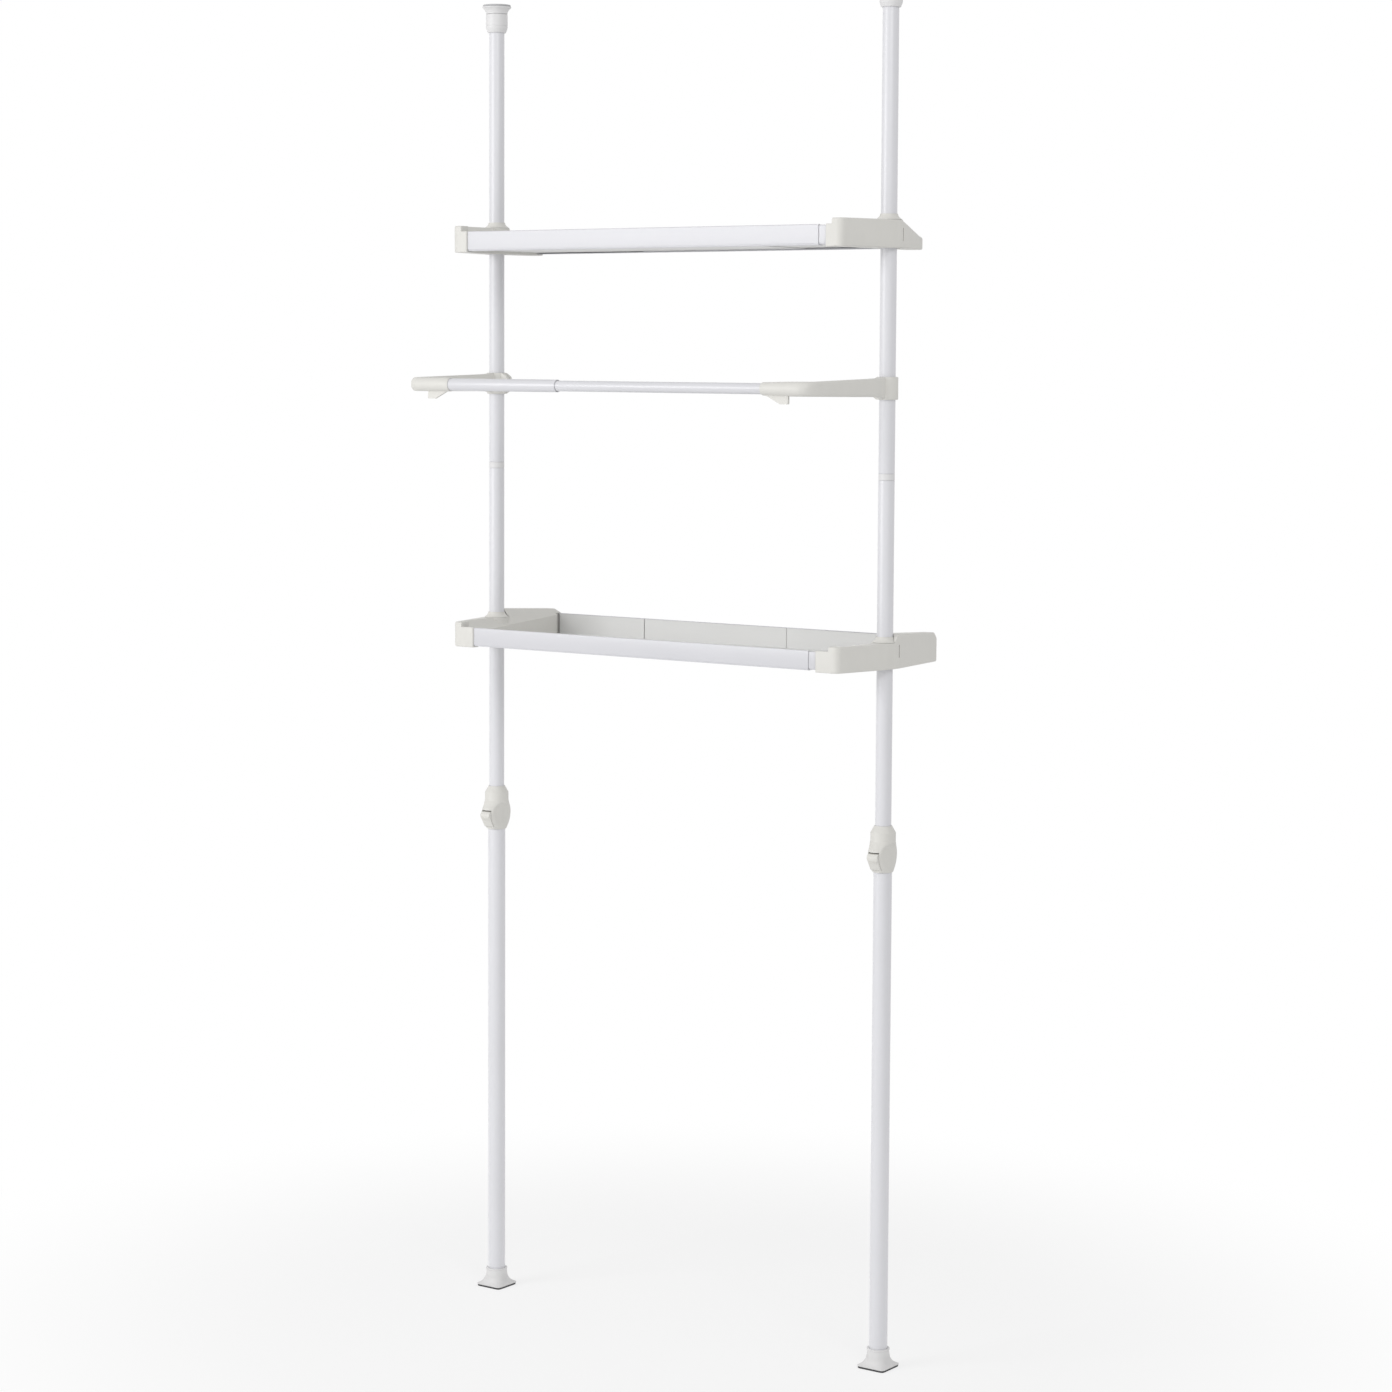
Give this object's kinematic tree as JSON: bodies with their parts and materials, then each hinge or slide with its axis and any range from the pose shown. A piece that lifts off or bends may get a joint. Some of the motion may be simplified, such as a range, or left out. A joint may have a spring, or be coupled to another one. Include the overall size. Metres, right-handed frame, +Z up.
{
  "type": "tension pole shelf unit",
  "caption": "Rack of telescopic poles pinned between floor and ceiling, carrying tray shelves and a hanging bar that widen together.",
  "frame": {"origin": "middle of the whole unit on the floor it stands on", "axes": "+X along the shelves, -Y to the front where the hanging bar reaches out, +Z up the poles"},
  "size_m": [0.913, 0.4189, 2.4],
  "materials": {
    "tube": "white powder coat, satin",
    "rail": "white enamel, glossy",
    "board": "off-white enamel, satin",
    "plastic": "warm white moulded plastic, fine satin",
    "jack": "white moulded plastic, fine satin",
    "rubber": "dark grey soft rubber, matt",
    "steel": "zinc-plated steel"
  },
  "bodies": {
    "left_pole": {"left_middle_tube": "tube", "left_tube_connector": "plastic", "left_upper_tube": "tube"},
    "left_leg": {"left_foot_sole": "rubber", "left_foot": "plastic", "left_lower_tube": "tube", "left_lock_body": "plastic", "left_lever_pin": "steel", "left_brake_shoe": "rubber"},
    "left_lever": {"left_lock_lever": "plastic"},
    "left_jack": {"left_jack_nut": "jack"},
    "left_cap": {"left_ceiling_cap": "jack", "left_ceiling_pad": "rubber"},
    "right_pole": {"right_middle_tube": "tube", "right_tube_connector": "plastic", "right_upper_tube": "tube"},
    "right_leg": {"right_foot_sole": "rubber", "right_foot": "plastic", "right_lower_tube": "tube", "right_lock_body": "plastic", "right_lever_pin": "steel", "right_brake_shoe": "rubber"},
    "right_lever": {"right_lock_lever": "plastic"},
    "right_jack": {"right_jack_nut": "jack"},
    "right_cap": {"right_ceiling_cap": "jack", "right_ceiling_pad": "rubber"},
    "lower_shelf_left": {"lower_shelf_left_bracket": "plastic", "lower_shelf_left_wedge_sleeve": "plastic", "lower_shelf_left_rail_screw": "steel", "lower_shelf_front_outer_rail": "rail", "lower_shelf_back_outer_rail": "rail", "lower_shelf_board_a": "board", "lower_shelf_board_b": "board"},
    "lower_shelf_right": {"lower_shelf_right_bracket": "plastic", "lower_shelf_right_wedge_sleeve": "plastic", "lower_shelf_right_rail_screw": "steel", "lower_shelf_front_inner_rail": "rail", "lower_shelf_back_inner_rail": "rail", "lower_shelf_board_c": "board", "lower_shelf_board_d": "board"},
    "upper_shelf_left": {"upper_shelf_left_bracket": "plastic", "upper_shelf_left_wedge_sleeve": "plastic", "upper_shelf_left_rail_screw": "steel", "upper_shelf_front_outer_rail": "rail", "upper_shelf_back_outer_rail": "rail", "upper_shelf_board_a": "board", "upper_shelf_board_b": "board"},
    "upper_shelf_right": {"upper_shelf_right_bracket": "plastic", "upper_shelf_right_wedge_sleeve": "plastic", "upper_shelf_right_rail_screw": "steel", "upper_shelf_front_inner_rail": "rail", "upper_shelf_back_inner_rail": "rail", "upper_shelf_board_c": "board", "upper_shelf_board_d": "board"},
    "hanger_left": {"hanger_left_arm": "plastic", "hanger_left_screw": "steel", "hanger_outer_bar": "tube"},
    "hanger_right": {"hanger_right_arm": "plastic", "hanger_right_screw": "steel", "hanger_inner_bar": "tube"}
  },
  "joints": [
    {"name": "width_slide", "type": "slide", "parent": "left_pole", "child": "right_pole", "axis": [1, 0, 0], "range_m": [0, 0.2]},
    {"name": "left_leg_slide", "type": "slide", "parent": "left_pole", "child": "left_leg", "axis": [0, 0, -1], "range_m": [-0.15, 0.15]},
    {"name": "left_lever_hinge", "type": "hinge", "parent": "left_leg", "child": "left_lever", "pos_m": [-0.4285, 0.0175, 0.9016], "axis": [-1, 0, 0], "range_deg": [0, 90]},
    {"name": "left_jack_turn", "type": "hinge", "parent": "left_pole", "child": "left_jack", "pos_m": [-0.4285, 0.0445, 2.366], "axis": [0, 0, 1], "range_deg": [0, 3600]},
    {"name": "left_cap_lift", "type": "slide", "parent": "left_pole", "child": "left_cap", "axis": [0, 0, 1], "range_m": [0, 0.04]},
    {"name": "right_leg_slide", "type": "slide", "parent": "right_pole", "child": "right_leg", "axis": [0, 0, -1], "range_m": [-0.15, 0.15]},
    {"name": "right_lever_hinge", "type": "hinge", "parent": "right_leg", "child": "right_lever", "pos_m": [0.4285, 0.0175, 0.9016], "axis": [-1, 0, 0], "range_deg": [0, 90]},
    {"name": "right_jack_turn", "type": "hinge", "parent": "right_pole", "child": "right_jack", "pos_m": [0.4285, 0.0445, 2.366], "axis": [0, 0, 1], "range_deg": [0, 3600]},
    {"name": "right_cap_lift", "type": "slide", "parent": "right_pole", "child": "right_cap", "axis": [0, 0, 1], "range_m": [0, 0.04]},
    {"name": "lower_shelf_lift", "type": "slide", "parent": "left_pole", "child": "lower_shelf_left", "axis": [0, 0, 1], "range_m": [-0.12, 0.15]},
    {"name": "lower_shelf_widen", "type": "slide", "parent": "lower_shelf_left", "child": "lower_shelf_right", "axis": [1, 0, 0], "range_m": [0, 0.2]},
    {"name": "upper_shelf_lift", "type": "slide", "parent": "left_pole", "child": "upper_shelf_left", "axis": [0, 0, 1], "range_m": [-0.1, 0.25]},
    {"name": "upper_shelf_widen", "type": "slide", "parent": "upper_shelf_left", "child": "upper_shelf_right", "axis": [1, 0, 0], "range_m": [0, 0.2]},
    {"name": "hanger_lift", "type": "slide", "parent": "left_pole", "child": "hanger_left", "axis": [0, 0, 1], "range_m": [-0.2, 0.1]},
    {"name": "hanger_widen", "type": "slide", "parent": "hanger_left", "child": "hanger_right", "axis": [1, 0, 0], "range_m": [0, 0.2]}
  ],
  "couplings": [
    {"joint": "lower_shelf_widen", "follows": "width_slide", "ratio": 1},
    {"joint": "upper_shelf_widen", "follows": "width_slide", "ratio": 1},
    {"joint": "hanger_widen", "follows": "width_slide", "ratio": 1},
    {"joint": "left_jack_turn", "follows": "left_cap_lift", "rad_per_m": 1570},
    {"joint": "right_jack_turn", "follows": "right_cap_lift", "rad_per_m": 1570}
  ]
}
